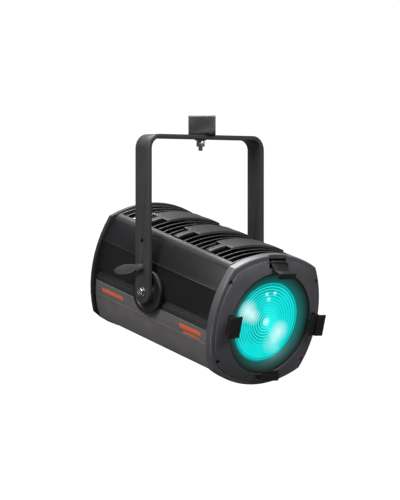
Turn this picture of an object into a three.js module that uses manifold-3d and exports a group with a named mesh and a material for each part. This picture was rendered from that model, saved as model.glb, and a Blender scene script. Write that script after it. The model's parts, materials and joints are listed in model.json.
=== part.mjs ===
// LED Fresnel luminaire on a flat-bar yoke with a tube clamp, in millimetres, +Z up.
// The origin is the centre of the tube that the clamp holds; +X runs along the tilt axis.
import * as THREE from "three";
import { mergeVertices } from "three/addons/utils/BufferGeometryUtils.js";
import Module from "manifold-3d";

const wasm = await Module();
wasm.setup();

// ---- driving dimensions ----

const degree = Math.PI / 180;
const gap = 0.3; // left between neighbouring solids

const clamp = {
  tubeSeat: 16.2, // radius, for a 32 mm tube
  length: 64,
  offset: 3.5, // the block sits a little to one side of the stud
  half: 22.5, // half depth across the tube
  top: 22,
  bottom: -24,
  turn: -41 * degree, // the tube's direction against the yoke, seen from above
};

const yoke = {
  outerHalf: 178.5,
  thickness: 10,
  width: 48,
  bend: 34, // outer bend radius
  top: clamp.bottom - gap,
  drop: 365.7, // from the bar's top to the tilt axis
  tail: 27, // arm below the tilt axis
  spareHole: 118, // above the tilt axis
  lockHeight: 57, // above the tilt axis
};
yoke.innerHalf = yoke.outerHalf - yoke.thickness;
yoke.pivotZ = yoke.top - yoke.drop;

// The head is drawn level: x across, y up, z forward along the beam, from the tilt axis.
const head = {
  tilt: 15.5 * degree, // nose down at rest
  opticalHeight: -3,
  bodyRear: -203.5,
  bodyFront: 218.7,
  sheet: 2.5,
};

const ring = { back: 219, wall: 239.5, face: 241.5, lip: 254, bore: 121 };

const outline = {
  topCorner: [124.5, 125],
  lowerCorner: [131.5, -118],
  topRise: 31,
  sideRise: 32,
  bottomDrop: 37,
};

const capOutline = {
  topCorner: [135, 124],
  lowerCorner: [134, -112],
  topRise: 33,
  sideRise: 27,
  bottomDrop: 42,
};

const cover = {
  corner: [117, 131],
  rise: 21,
  fold: [126.5, 118.5],
  ribAt: [-110, 8, 126],
  ribWidth: 16,
  plateauWidth: 56,
  plateauHalf: 68,
  ribHeight: 4,
  slotHalf: 112,
  slotWidth: 17.3,
  slotPitch: 20.5,
  firstSlot: 18, // from a rib's centre
};

const frameSlot = {
  frameHalf: 122.5, // half of a 245 mm colour frame
  lipFront: 276.4,
  plateFront: 280.7,
  sidePlate: [122.3, 145.6], // distance from the beam, for the left and right holders
  bottomPlate: [113.5, 130],
  bottomShift: 9,
  lipInner: 107,
  halfLength: 25,
};

const disc = { radius: 50, back: 153.7, hubFace: 167.9, rimFace: 165.2, dishFace: 162.5 };

const rear = { capBack: -215, capRim: -207, wall: 3 };

const zoom = { rest: 80, screwY: -68, screwRadius: 4, rodX: 98, rodY: -62, rodRadius: 5 };

const fan = { x: 0, y: 8, half: 40, rotor: 36, back: -205, front: -184 };

// ---- colours ----

const finishes = {
  black: [0x18181b, 0.5, 0.2],
  darkGrey: [0x2b2b2f, 0.55, 0.2],
  grey: [0x626064, 0.55, 0.2],
  warmGrey: [0x7c7874, 0.55, 0.2],
  steel: [0xb4b4b8, 0.3, 0.9],
  aluminium: [0xa8abb0, 0.4, 0.9],
  glass: [0x18e0cc, 0.15, 0],
  led: [0xe8f4b0, 0.4, 0],
  board: [0x1d5b38, 0.6, 0],
  rubber: [0x141414, 0.9, 0],
};

// ---- solids: closed geometries, joined and cut ----

function toSolid(geometry) {
  const bare = geometry.clone();
  bare.deleteAttribute("normal");
  bare.deleteAttribute("uv");
  const merged = mergeVertices(bare, 1e-4);
  return new wasm.Manifold(
    new wasm.Mesh({
      numProp: 3,
      vertProperties: new Float32Array(merged.attributes.position.array),
      triVerts: new Uint32Array(merged.index.array),
    }),
  );
}

function toGeometry(solid) {
  const mesh = solid.getMesh();
  const geometry = new THREE.BufferGeometry();
  geometry.setAttribute("position", new THREE.BufferAttribute(mesh.vertProperties, 3));
  geometry.setIndex(new THREE.BufferAttribute(mesh.triVerts, 1));
  geometry.computeVertexNormals();
  return geometry;
}

const join = (first, ...others) =>
  toGeometry(others.reduce((solid, next) => solid.add(toSolid(next)), toSolid(first)));

const cut = (body, ...tools) =>
  toGeometry(tools.reduce((solid, next) => solid.subtract(toSolid(next)), toSolid(body)));

const common = (a, b) => toGeometry(toSolid(a).intersect(toSolid(b)));

// ---- basic shapes ----

function box([x0, x1], [y0, y1], [z0, z1]) {
  return new THREE.BoxGeometry(x1 - x0, y1 - y0, z1 - z0).translate(
    (x0 + x1) / 2,
    (y0 + y1) / 2,
    (z0 + z1) / 2,
  );
}

// Turns a shape that stands along +Z so that it stands along another axis.
function along(axis, geometry) {
  if (axis === "x") {
    const basis = new THREE.Matrix4().makeBasis(
      new THREE.Vector3(0, 1, 0),
      new THREE.Vector3(0, 0, 1),
      new THREE.Vector3(1, 0, 0),
    );
    return geometry.applyMatrix4(basis);
  }
  if (axis === "y") {
    const basis = new THREE.Matrix4().makeBasis(
      new THREE.Vector3(0, 0, 1),
      new THREE.Vector3(1, 0, 0),
      new THREE.Vector3(0, 1, 0),
    );
    return geometry.applyMatrix4(basis);
  }
  return geometry;
}

const shapeOf = (points) => new THREE.Shape(points.map(([a, b]) => new THREE.Vector2(a, b)));

// A prism on an outline: along z the outline is (x, y), along x it is (y, z), along y it is (z, x).
function prism(axis, points, from, to) {
  const shape = points instanceof THREE.Shape ? points : shapeOf(points);
  const solid = new THREE.ExtrudeGeometry(shape, {
    depth: to - from,
    bevelEnabled: false,
    curveSegments: 8,
  });
  return along(axis, solid.translate(0, 0, from));
}

// A body turned about an axis; its profile is a list of [radius, place along the axis].
function turned(axis, profile, segments = 32) {
  const points = profile.map(([radius, place]) => new THREE.Vector2(radius, place));
  const first = points[0];
  const last = points[points.length - 1];
  if (first.x > 0 || last.x > 0) points.push(first.clone());
  const solid = new THREE.LatheGeometry(points, segments).rotateX(Math.PI / 2);
  return along(axis, solid);
}

// A disc or rod, and a ring; centre gives the two places across the axis, in the order of prism.
function rod(axis, radius, from, to, centre = [0, 0], segments = 20) {
  const solid = new THREE.CylinderGeometry(radius, radius, to - from, segments)
    .rotateX(Math.PI / 2)
    .translate(centre[0], centre[1], (from + to) / 2);
  return along(axis, solid);
}

function washer(axis, inner, outer, from, to, segments = 24) {
  return turned(
    axis,
    [
      [inner, from],
      [outer, from],
      [outer, to],
      [inner, to],
    ],
    segments,
  );
}

// Points on an arc from a to b that bulges by rise to the right of the direction of travel.
function arcPoints([ax, ay], [bx, by], rise, steps) {
  const chord = Math.hypot(bx - ax, by - ay);
  const radius = (chord * chord) / (8 * rise) + rise / 2;
  const right = [(by - ay) / chord, -(bx - ax) / chord];
  const middle = [(ax + bx) / 2, (ay + by) / 2];
  const centre = [
    middle[0] - right[0] * (radius - rise),
    middle[1] - right[1] * (radius - rise),
  ];
  const start = Math.atan2(ay - centre[1], ax - centre[0]);
  let sweep = Math.atan2(by - centre[1], bx - centre[0]) - start;
  if (sweep < 0) sweep += 2 * Math.PI;
  return Array.from({ length: steps }, (unused, i) => {
    const angle = start + (sweep * i) / steps;
    return [centre[0] + radius * Math.cos(angle), centre[1] + radius * Math.sin(angle)];
  });
}

const mirrored = (points) => points.map(([x, y]) => [-x, y]).reverse();

// Four arcs that meet in four corners, anticlockwise from the lower right corner.
function fourArcs({ topCorner, lowerCorner, topRise, sideRise, bottomDrop }, inset, steps) {
  const [tx, ty] = [topCorner[0] - inset, topCorner[1] - inset];
  const [lx, ly] = [lowerCorner[0] - inset, lowerCorner[1] + inset];
  return [
    ...arcPoints([lx, ly], [tx, ty], sideRise, steps),
    ...arcPoints([tx, ty], [-tx, ty], topRise, steps),
    ...arcPoints([-tx, ty], [-lx, ly], sideRise, steps),
    ...arcPoints([-lx, ly], [lx, ly], bottomDrop, steps),
  ];
}

// A circle about the beam, with one point on the ray to each outline point.
function circleToward(points, radius) {
  return points.map(([x, y]) => {
    const angle = Math.atan2(y - head.opticalHeight, x);
    return [radius * Math.cos(angle), head.opticalHeight + radius * Math.sin(angle)];
  });
}

// A closed band through loops of equal length, each [outline, z]; the last joins the first.
function band(loops) {
  const count = loops[0][0].length;
  const positions = loops.flatMap(([points, z]) => points.flatMap(([x, y]) => [x, y, z]));
  const index = [];
  loops.forEach((unused, k) => {
    const next = ((k + 1) % loops.length) * count;
    for (let i = 0; i < count; i++) {
      const j = (i + 1) % count;
      const here = k * count;
      index.push(here + i, here + j, next + j, here + i, next + j, next + i);
    }
  });
  const geometry = new THREE.BufferGeometry();
  geometry.setAttribute("position", new THREE.Float32BufferAttribute(positions, 3));
  geometry.setIndex(index);
  return geometry;
}

// ---- scene graph ----

const luminaire = new THREE.Group();
const headGroup = new THREE.Group();
headGroup.position.z = yoke.pivotZ;
headGroup.rotation.x = Math.PI / 2 + head.tilt;
const clampGroup = new THREE.Group();
clampGroup.rotation.z = clamp.turn;
luminaire.add(headGroup, clampGroup);

function add(group, name, geometry, finish) {
  const [color, roughness, metalness] = finishes[finish];
  const material = new THREE.MeshStandardMaterial({ color, roughness, metalness });
  const mesh = new THREE.Mesh(geometry, material);
  mesh.name = name;
  group.add(mesh);
}

// ---- tube clamp: x along the tube, y away from the front, z up ----

const strapPin = { y: 18.9, z: 18.2, radius: 1.6, knuckle: 3.6 };
const strapBolt = { x: -12, z: -20.1, radius: 2.5, tip: 9.2 };
const sideScrewX = 24.5;
const studRadius = 5;
const studEnd = yoke.top - yoke.thickness - 27;

function clampBody() {
  const [near, far] = [clamp.offset - clamp.length / 2, clamp.offset + clamp.length / 2];
  const baseEnd = 12;
  const chamfer = 3;
  const block = prism(
    "x",
    [
      [-clamp.half + chamfer, clamp.bottom],
      [baseEnd, clamp.bottom],
      [baseEnd, -8],
      [8, 0],
      [14, clamp.top],
      [-clamp.half + chamfer, clamp.top],
      [-clamp.half, clamp.top - chamfer],
      [-clamp.half, clamp.bottom + chamfer],
    ],
    near,
    far,
  );
  const boss = rod("y", 6.6, -clamp.half - 2.5, -clamp.half + 3, [-17.2, sideScrewX], 20);
  const pin = rod("x", strapPin.radius, near, far, [strapPin.y, strapPin.z], 12);
  const ear = (from, to) =>
    join(
      rod("x", strapPin.knuckle, from, to, [strapPin.y, strapPin.z], 16),
      box([from, to], [12.5, strapPin.y], [strapPin.z, clamp.top - 0.2]),
    );
  const earWidth = 10;
  const full = join(
    block,
    boss,
    pin,
    ear(near, near + earWidth),
    ear(far - earWidth, far),
  );
  return cut(
    full,
    rod("x", clamp.tubeSeat, near - 1, far + 1, [0, 0], 28),
    rod("z", studRadius + gap, clamp.bottom - 1, clamp.bottom + 7, [0, 0], 20),
    rod("y", 2.8, -clamp.half - 3, -clamp.half + 9, [-18.5, sideScrewX], 12),
    box([strapBolt.x - 3.2, strapBolt.x + 3.2], [strapBolt.tip - 1.5, 13], [clamp.bottom - 1, -17]),
  );
}

function clampStrap() {
  const near = clamp.offset - clamp.length / 2 + 10.6; // between the ears
  const far = clamp.offset + clamp.length / 2 - 10.6;
  const outer = clamp.half;
  const inner = 12.6;
  const plate = prism(
    "x",
    [
      [inner, clamp.bottom + 1.2],
      [outer, clamp.bottom + 1.2],
      [outer, 14],
      [strapPin.y, strapPin.z],
      [15.2, strapPin.z],
      [inner, 9],
    ],
    near,
    far,
  );
  const knuckle = rod("x", strapPin.knuckle, near, far, [strapPin.y, strapPin.z], 16);
  return cut(
    join(plate, knuckle),
    rod("x", strapPin.radius + gap, near - 1, far + 1, [strapPin.y, strapPin.z], 12),
    rod("x", clamp.tubeSeat + 0.2, near - 1, far + 1, [0, 0], 28),
    rod("y", strapBolt.radius + gap, 5, 30, [strapBolt.z, strapBolt.x], 16),
  );
}

function clampBolt() {
  const headFrom = clamp.half + gap;
  return join(
    rod("y", strapBolt.radius, strapBolt.tip, headFrom + 1, [strapBolt.z, strapBolt.x], 16),
    rod("y", 3.6, headFrom, headFrom + 10, [strapBolt.z, strapBolt.x], 16),
    box(
      [strapBolt.x - 11, strapBolt.x + 11],
      [headFrom + 9, headFrom + 15],
      [strapBolt.z - 2.2, strapBolt.z + 2.2],
    ),
  );
}

function hexNut(acrossFlats, bore, from, to) {
  const corner = acrossFlats / Math.sqrt(3);
  return cut(rod("z", corner, from, to, [0, 0], 6), rod("z", bore, from - 1, to + 1, [0, 0], 20));
}

add(clampGroup, "clamp_body", clampBody(), "black");
add(clampGroup, "clamp_strap", clampStrap(), "black");
add(clampGroup, "clamp_bolt", clampBolt(), "steel");
add(
  clampGroup,
  "clamp_side_screw",
  join(
    rod("y", 4.6, -clamp.half - 6, -clamp.half - 2.8, [-18.5, sideScrewX], 18),
    rod("y", 2.5, -clamp.half - 4, -clamp.half + 8.5, [-18.5, sideScrewX], 12),
  ),
  "black",
);
const barUnder = yoke.top - yoke.thickness;
add(luminaire, "hanger_stud", rod("z", studRadius, studEnd, clamp.bottom + 6.6), "steel");
add(
  luminaire,
  "hanger_washer",
  washer("z", studRadius + gap, 13.5, barUnder - gap - 2.5, barUnder - gap),
  "steel",
);
add(
  luminaire,
  "hanger_nut",
  hexNut(17, studRadius + gap, barUnder - 2 * gap - 16.5, barUnder - 2 * gap - 2.5),
  "steel",
);

// ---- yoke ----

function yokeBar() {
  const { outerHalf: outer, innerHalf: inner, bend, top, thickness, pivotZ } = yoke;
  const foot = pivotZ - yoke.tail;
  const centreZ = top - bend;
  const centreX = outer - bend;
  const shape = new THREE.Shape();
  shape.moveTo(outer, foot);
  shape.lineTo(outer, centreZ);
  shape.absarc(centreX, centreZ, bend, 0, Math.PI / 2);
  shape.lineTo(-centreX, top);
  shape.absarc(-centreX, centreZ, bend, Math.PI / 2, Math.PI);
  shape.lineTo(-outer, foot);
  shape.lineTo(-inner, foot);
  shape.lineTo(-inner, centreZ);
  shape.absarc(-centreX, centreZ, bend - thickness, Math.PI, Math.PI / 2, true);
  shape.lineTo(centreX, top - thickness);
  shape.absarc(centreX, centreZ, bend - thickness, Math.PI / 2, 0, true);
  shape.lineTo(inner, foot);
  const half = yoke.width / 2;
  const bar = new THREE.ExtrudeGeometry(shape, {
    depth: yoke.width,
    bevelEnabled: false,
    curveSegments: 7,
  })
    .rotateX(Math.PI / 2)
    .translate(0, half, 0);
  const side = new THREE.Shape();
  const roundZ = foot + half;
  side.moveTo(half + 1, top + 1);
  side.lineTo(-half - 1, top + 1);
  side.lineTo(-half, roundZ);
  side.absarc(0, roundZ, half, Math.PI, 2 * Math.PI);
  const rounded = common(bar, prism("x", side, -outer - 1, outer + 1));
  return cut(
    rounded,
    rod("x", studRadius + gap, -outer - 1, outer + 1, [0, pivotZ]),
    rod("x", 5, -outer - 1, outer + 1, [0, pivotZ + yoke.spareHole]),
    rod("x", 4.3, -outer - 1, -inner + 1, [0, pivotZ + yoke.lockHeight]),
    rod("z", studRadius + gap, top - thickness - 1, top + 1),
  );
}
add(luminaire, "yoke_bar", yokeBar(), "darkGrey");

const boltHead = { radius: 9.7, height: 5.8, socket: 4.1, socketDepth: 3.4 };
const pivotWasher = { radius: 12.2, thickness: 2 };

function pivotBolt(side) {
  const seat = yoke.outerHalf + pivotWasher.thickness + 2 * gap;
  const end = seat + boltHead.height;
  const profile = [
    [0, disc.back + 3],
    [studRadius, disc.back + 3],
    [studRadius, seat],
    [boltHead.radius, seat],
    [boltHead.radius, end - 1.2],
    [boltHead.radius - 1.4, end],
    [boltHead.socket, end],
    [boltHead.socket, end - boltHead.socketDepth],
    [0, end - boltHead.socketDepth],
  ];
  return onSide(side, turned("x", profile, 24));
}

// Puts a part made on the +X side on either side.
function onSide(side, geometry) {
  if (side > 0) return geometry;
  const flipped = geometry.index ? geometry.toNonIndexed() : geometry.clone();
  flipped.rotateZ(Math.PI);
  return flipped;
}

for (const [name, side] of [["left", -1], ["right", 1]]) {
  const bolt = pivotBolt(side).translate(0, 0, yoke.pivotZ);
  add(luminaire, `pivot_bolt_${name}`, bolt, "steel");
  const seat = yoke.outerHalf + gap;
  const ringSolid = washer("x", studRadius + gap, pivotWasher.radius, seat, seat + pivotWasher.thickness);
  add(luminaire, `pivot_washer_${name}`, onSide(side, ringSolid).translate(0, 0, yoke.pivotZ), "steel");
}

// ---- tilt lock on the left arm ----

const lever = { length: 65, width: 22, thickness: 7, direction: [-18, 62, -9], hubRadius: 8 };

function tiltLever() {
  const hubFrom = -yoke.outerHalf - 14.5;
  const hub = rod("x", lever.hubRadius, hubFrom, -yoke.outerHalf - gap, [0, 0], 20);
  const ex = new THREE.Vector3(...lever.direction).normalize();
  const outward = new THREE.Vector3(-1, 0, 0);
  const ez = outward.addScaledVector(ex, -outward.dot(ex)).normalize();
  const ey = new THREE.Vector3().crossVectors(ez, ex);
  const paddle = new THREE.Shape();
  paddle.absellipse(lever.length / 2 + 2, 0, lever.length / 2, lever.width / 2, 0, 2 * Math.PI);
  const frame = new THREE.Matrix4().makeBasis(ex, ey, ez);
  const blade = new THREE.ExtrudeGeometry(paddle, {
    depth: lever.thickness,
    bevelEnabled: false,
    curveSegments: 14,
  })
    .translate(0, 0, -lever.thickness / 2)
    .applyMatrix4(frame)
    .translate(hubFrom + 4, 0, 0);
  return cut(join(hub, blade), box([-yoke.outerHalf - gap, 0], [-40, 80], [-40, 40]))
    .translate(0, 0, yoke.pivotZ + yoke.lockHeight);
}

function lockScrew() {
  const shoeFace = disc.rimFace + gap;
  const profile = [
    [0, shoeFace],
    [10, shoeFace],
    [10, yoke.innerHalf - gap],
    [4, yoke.innerHalf - gap],
    [4, yoke.outerHalf],
    [0, yoke.outerHalf],
  ];
  return onSide(-1, turned("x", profile, 20)).translate(0, 0, yoke.pivotZ + yoke.lockHeight);
}
add(luminaire, "tilt_lock_lever", tiltLever(), "black");
add(luminaire, "tilt_lock_screw", lockScrew(), "steel");

// ---- head: front ring, lens and frame holders ----

const arcSteps = 14;
const ringOutline = fourArcs(outline, 0, arcSteps);
const latchPin = { y: 139, z: 243, radius: 2, half: 33 };
const notchHalf = 28.5;
const screwPlaces = [[131, 93], [-131, 93], [128, -95], [-128, -95]];

function frontRing() {
  const inset = fourArcs(outline, 1.6, arcSteps);
  const bore = circleToward(ringOutline, ring.bore);
  const casting = band([
    [ringOutline, ring.back],
    [ringOutline, ring.wall],
    [inset, ring.face],
    [bore, ring.lip],
    [bore, ring.back],
  ]);
  const screwHoles = screwPlaces.map((place) => rod("z", 5, ring.face - 8, ring.lip + 5, place, 14));
  return cut(
    casting,
    box([-notchHalf, notchHalf], [127, 170], [235, 262]),
    rod("x", latchPin.radius + gap, -latchPin.half - 1, latchPin.half + 1, [latchPin.y, latchPin.z], 12),
    ...screwHoles,
  );
}
add(headGroup, "front_ring", frontRing(), "grey");

// A turned part about the beam.
const aboutBeam = (profile, segments = 36) =>
  turned("z", profile, segments).translate(0, head.opticalHeight, 0);

const lens = { radius: 100, back: 228, rim: 235, aperture: 96 };

function lensProfile() {
  const grooves = 4;
  const pitch = (lens.radius - 6) / grooves;
  const rise = 2.4;
  const points = [[0, lens.back], [lens.radius, lens.back], [lens.radius, lens.rim - 1]];
  for (let i = grooves; i > 0; i--) {
    points.push([i * pitch, lens.rim - rise]);
    points.push([(i - 1) * pitch + 0.6, lens.rim]);
  }
  points.push([0, lens.rim]);
  return points;
}
add(headGroup, "fresnel_lens", aboutBeam(lensProfile(), 40), "glass");
add(
  headGroup,
  "lens_baffle",
  aboutBeam([
    [ring.bore - 0.7, 222],
    [ring.bore - 0.7, 251],
    [ring.bore - 2.5, 251],
    [lens.aperture, 239.5],
    [lens.aperture, 236],
    [lens.radius + 1, 236],
    [lens.radius + 1, 222],
  ]),
  "black",
);
add(
  headGroup,
  "lens_retainer",
  aboutBeam([
    [92, 222.5],
    [lens.radius, 222.5],
    [lens.radius, lens.back - gap],
    [92, lens.back - gap],
  ]),
  "aluminium",
);

// One frame holder drawn at the +X side: a stand with a cap plate, and an L-shaped lip.
function holderSolids([plateInner, plateOuter], shift) {
  const { frameHalf, lipFront, plateFront, lipInner, halfLength } = frameSlot;
  const flange = frameHalf + 0.5;
  const flangeOuter = flange + 2.6;
  const standFrom = flangeOuter + gap;
  const plateBack = lipFront + gap;
  const stand = prism(
    "y",
    [
      [254.2, standFrom],
      [plateBack, standFrom],
      [plateBack, plateInner],
      [plateFront, plateInner],
      [plateFront, plateOuter],
      [plateBack, plateOuter],
      [plateBack, standFrom + 3],
      [254.2, standFrom + 3],
    ],
    shift - halfLength,
    shift + halfLength,
  );
  const lip = prism(
    "y",
    [
      [254.8, flange],
      [lipFront - 3, flange],
      [lipFront - 3, lipInner],
      [lipFront, lipInner],
      [lipFront, flangeOuter],
      [254.8, flangeOuter],
    ],
    shift - halfLength,
    shift + halfLength,
  );
  return { stand, lip };
}

const holderTurns = { left: Math.PI, bottom: -Math.PI / 2, right: 0 };
for (const [name, turn] of Object.entries(holderTurns)) {
  const { stand, lip } =
    name === "bottom"
      ? holderSolids(frameSlot.bottomPlate, frameSlot.bottomShift)
      : holderSolids(frameSlot.sidePlate, 0);
  const place = (solid) => solid.rotateZ(turn).translate(0, head.opticalHeight, 0);
  add(headGroup, `frame_holder_${name}`, place(stand), "grey");
  add(headGroup, `frame_lip_${name}`, place(lip), "black");
}

function latchArm() {
  const half = 22;
  const plate = prism(
    "x",
    [
      [134.6, 243],
      [120.4, 260],
      [120.4, 279],
      [124, 279],
      [124.6, 262.5],
      [138, 247],
    ],
    -half,
    half,
  );
  const knuckle = rod("x", 4.5, -half, half, [latchPin.y, latchPin.z], 16);
  return cut(
    join(plate, knuckle),
    rod("x", latchPin.radius + gap, -half - 1, half + 1, [latchPin.y, latchPin.z], 12),
  );
}
add(headGroup, "latch_arm", latchArm(), "grey");
add(headGroup, "latch_lip", box([-26, 26], [110.5, 124], [279.3, 283]), "darkGrey");
add(
  headGroup,
  "latch_pin",
  rod("x", latchPin.radius, -latchPin.half, latchPin.half, [latchPin.y, latchPin.z], 12),
  "steel",
);

// ---- head: covers and panels ----

function coverArc(raise, half, steps) {
  const [cx, cy] = cover.corner;
  const radius = (cx * cx) / (2 * cover.rise) + cover.rise / 2;
  const centreY = cy + cover.rise - radius;
  const r = radius + raise;
  const end = Math.asin(half / r);
  return Array.from({ length: steps + 1 }, (unused, i) => {
    const angle = end - (2 * end * i) / steps;
    return [r * Math.sin(angle), centreY + r * Math.cos(angle)];
  });
}

function topCover() {
  const thickness = 3;
  const steps = 10;
  const outer = [cover.fold, ...coverArc(0, cover.corner[0], steps), [-cover.fold[0], cover.fold[1]]];
  const inner = [
    [-cover.fold[0] + 3.4, cover.fold[1]],
    ...coverArc(-thickness, cover.corner[0] - 3, steps).reverse(),
    [cover.fold[0] - 3.4, cover.fold[1]],
  ];
  const sheet = prism("z", [...outer, ...inner], head.bodyRear, head.bodyFront);
  const raised = (half, width, at) =>
    prism(
      "z",
      [...coverArc(cover.ribHeight, half, 8), ...coverArc(-1, half, 8).reverse()],
      at - width / 2,
      at + width / 2,
    );
  const ribs = cover.ribAt.flatMap((at) => [
    raised(cover.plateauHalf, cover.plateauWidth, at),
    raised(cover.slotHalf, cover.ribWidth, at),
  ]);
  return cut(join(sheet, ...ribs), ...coverSlots());
}

// Vent slots between the ribs: the rows next to a rib stop at its plateau.
function coverSlots() {
  const slots = [];
  const slot = (from, to, at) =>
    slots.push(
      box([from, to], [95, 170], [at - cover.slotWidth / 2, at + cover.slotWidth / 2]),
    );
  const row = (at, short) => {
    if (!short) return slot(-cover.slotHalf, cover.slotHalf, at);
    slot(cover.plateauHalf, cover.slotHalf, at);
    slot(-cover.slotHalf, -cover.plateauHalf, at);
  };
  const [rearRib, midRib, frontRib] = cover.ribAt;
  for (let i = 0; i < 4; i++) row(rearRib - cover.firstSlot - i * cover.slotPitch, i === 0);
  for (const rib of [rearRib, midRib])
    for (let i = 0; i < 5; i++) row(rib + cover.firstSlot + i * cover.slotPitch, i % 4 === 0);
  for (let i = 0; i < 4; i++) row(frontRib + cover.firstSlot + i * cover.slotPitch, i === 0);
  return slots;
}
add(headGroup, "top_cover", topCover(), "grey");

const sideCrease = [149.8, 66.5];
const sideFoot = [152.8, -3];
const railTop = -3.6;
const railFoot = -29;
const lowerEdge = [150.5, -29.6];
const lowerCrease = [144, -64];
const bellyCorner = [120, -120];
const bellyDrop = 30;

const panelOutline = [
  [cover.fold[0] + 0.4, cover.fold[1] - 0.8],
  [cover.fold[0] - 2.2, cover.fold[1] - 1],
  [sideCrease[0] - 2.7, sideCrease[1]],
  [sideFoot[0] - head.sheet, sideFoot[1]],
  sideFoot,
  sideCrease,
];
const railOutline = [
  [143, railTop],
  [143, railFoot],
  [151, railFoot],
  [151, -15],
  [146.5, -15],
  [146.5, railTop],
];

for (const [name, flip] of [["right", (p) => p], ["left", mirrored]]) {
  const panel = flip([...panelOutline].reverse());
  add(headGroup, `side_panel_${name}`, prism("z", panel, head.bodyRear, head.bodyFront), "darkGrey");
  const rail = flip([...railOutline].reverse());
  add(headGroup, `side_rail_${name}`, prism("z", rail, head.bodyRear, head.bodyFront), "black");
}

function lowerShellOutline(inset) {
  const edge = [lowerEdge[0] - inset, lowerEdge[1]];
  const crease = [lowerCrease[0] - inset, lowerCrease[1]];
  const corner = [bellyCorner[0] - inset * 0.8, bellyCorner[1] + inset * 0.8];
  const rightSide = [...arcPoints(corner, crease, 1.5, 3), crease, edge];
  const bottom = arcPoints([-corner[0], corner[1]], corner, bellyDrop, 18);
  return [...mirrored(rightSide), ...bottom.slice(1), ...rightSide];
}

add(
  headGroup,
  "lower_shell",
  prism(
    "z",
    [...lowerShellOutline(0), ...lowerShellOutline(head.sheet).reverse()],
    head.bodyRear,
    head.bodyFront,
  ),
  "warmGrey",
);

// The body's whole outline, drawn in by inset, for the bulkheads and the rear cap.
function bodyOutline(inset) {
  const half = (points) => points.map(([x, y]) => [x - inset, y]);
  const right = half([bellyCorner, lowerCrease, lowerEdge, sideFoot, sideCrease, cover.corner]);
  const rightSide = right.map(([x, y]) => [
    x,
    Math.max(Math.min(y, cover.corner[1] - inset), bellyCorner[1] + inset),
  ]);
  const corner = rightSide[rightSide.length - 1];
  const belly = rightSide[0];
  return [
    ...arcPoints([-belly[0], belly[1]], belly, bellyDrop, 16),
    ...rightSide,
    ...arcPoints(corner, [-corner[0], corner[1]], cover.rise, 16).slice(1),
    ...mirrored(rightSide).slice(0, -1),
  ];
}

// ---- head: friction discs on the tilt axis ----

function frictionDisc(side) {
  const profile = [
    [studRadius + gap, disc.back + 2],
    [studRadius + gap, disc.hubFace],
    [23, disc.hubFace],
    [25, disc.dishFace],
    [38, disc.dishFace],
    [41, disc.rimFace],
    [disc.radius - 1.2, disc.rimFace],
    [disc.radius, disc.rimFace - 1.2],
    [disc.radius, disc.back + 2],
    [disc.radius - 3, disc.back],
    [0, disc.back],
    [0, disc.back + 2],
  ];
  const points = profile.map(([radius, place]) => new THREE.Vector2(radius, place)).reverse();
  points.push(points[0].clone());
  const solid = along("x", new THREE.LatheGeometry(points, 28).rotateX(Math.PI / 2));
  return onSide(side, solid);
}
for (const [name, side] of [["left", -1], ["right", 1]])
  add(headGroup, `friction_disc_${name}`, frictionDisc(side), "black");

// ---- head: rear cap, controls and sockets ----

const knob = { x: 0, y: zoom.screwY, radius: 17 };
const socket = { y: -92, xs: [-88, -48, 48, 88], halfWidth: 13, halfHeight: 15.5, radius: 11.5 };
const panelBox = { x: [-62, 62], y: [62, 118] };
const buttonPlaces = [[24, 90], [42, 90], [33, 76]];

function rearCap() {
  const { capBack, capRim, wall } = rear;
  const rim = prism("z", fourArcs(capOutline, 0, 10), capBack, capRim);
  const neck = prism("z", bodyOutline(9), capRim - 1, head.bodyRear - gap);
  const hollow = prism("z", bodyOutline(12), capBack + wall, head.bodyRear + 1);
  const grille = Array.from({ length: 7 }, (unused, i) => {
    const y = (i - 3) * 10;
    const half = Math.sqrt(fan.rotor ** 2 - y ** 2) - 1;
    return box([fan.x - half, fan.x + half], [fan.y + y - 3, fan.y + y + 3], [capBack - 1, capRim]);
  });
  const sockets = socket.xs.map((x) =>
    rod("z", socket.radius + 0.5, capBack - 1, capRim, [x, socket.y], 20),
  );
  const screwHole = rod("z", 6, capBack - 1, capRim, [knob.x, knob.y], 16);
  const panelHole = box([-52, 52], [68, 112], [capBack - 1, capRim]);
  return cut(join(rim, neck), hollow, ...grille, ...sockets, screwHole, panelHole);
}
add(headGroup, "rear_cap", rearCap(), "darkGrey");

const panelBack = rear.capBack - gap;
const panelFace = panelBack - 3;
const buttonRadius = 5.5;

function controlPanel() {
  const plate = box(panelBox.x, panelBox.y, [panelFace, panelBack]);
  const carrier = box([-50, 50], [70, 110], [panelBack - 1, rear.capBack + 14]);
  const window = box([-50.3, 4.3], [71.7, 104.3], [panelFace - 1, panelFace + 1.6]);
  const holes = buttonPlaces.map((place) =>
    rod("z", buttonRadius + 0.3, panelFace - 1, panelFace + 5.2, place, 16),
  );
  return cut(join(plate, carrier), window, ...holes);
}
add(headGroup, "control_panel", controlPanel(), "black");
add(
  headGroup,
  "display_window",
  box([-50, 4], [72, 104], [panelFace + 0.2, panelFace + 1.3]),
  "glass",
);
const buttonNames = ["menu_button_up", "menu_button_enter", "menu_button_down"];
buttonNames.forEach((name, i) =>
  add(
    headGroup,
    name,
    rod("z", buttonRadius, panelFace - 2.2, panelFace + 3, buttonPlaces[i], 16),
    "rubber",
  ),
);

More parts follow.
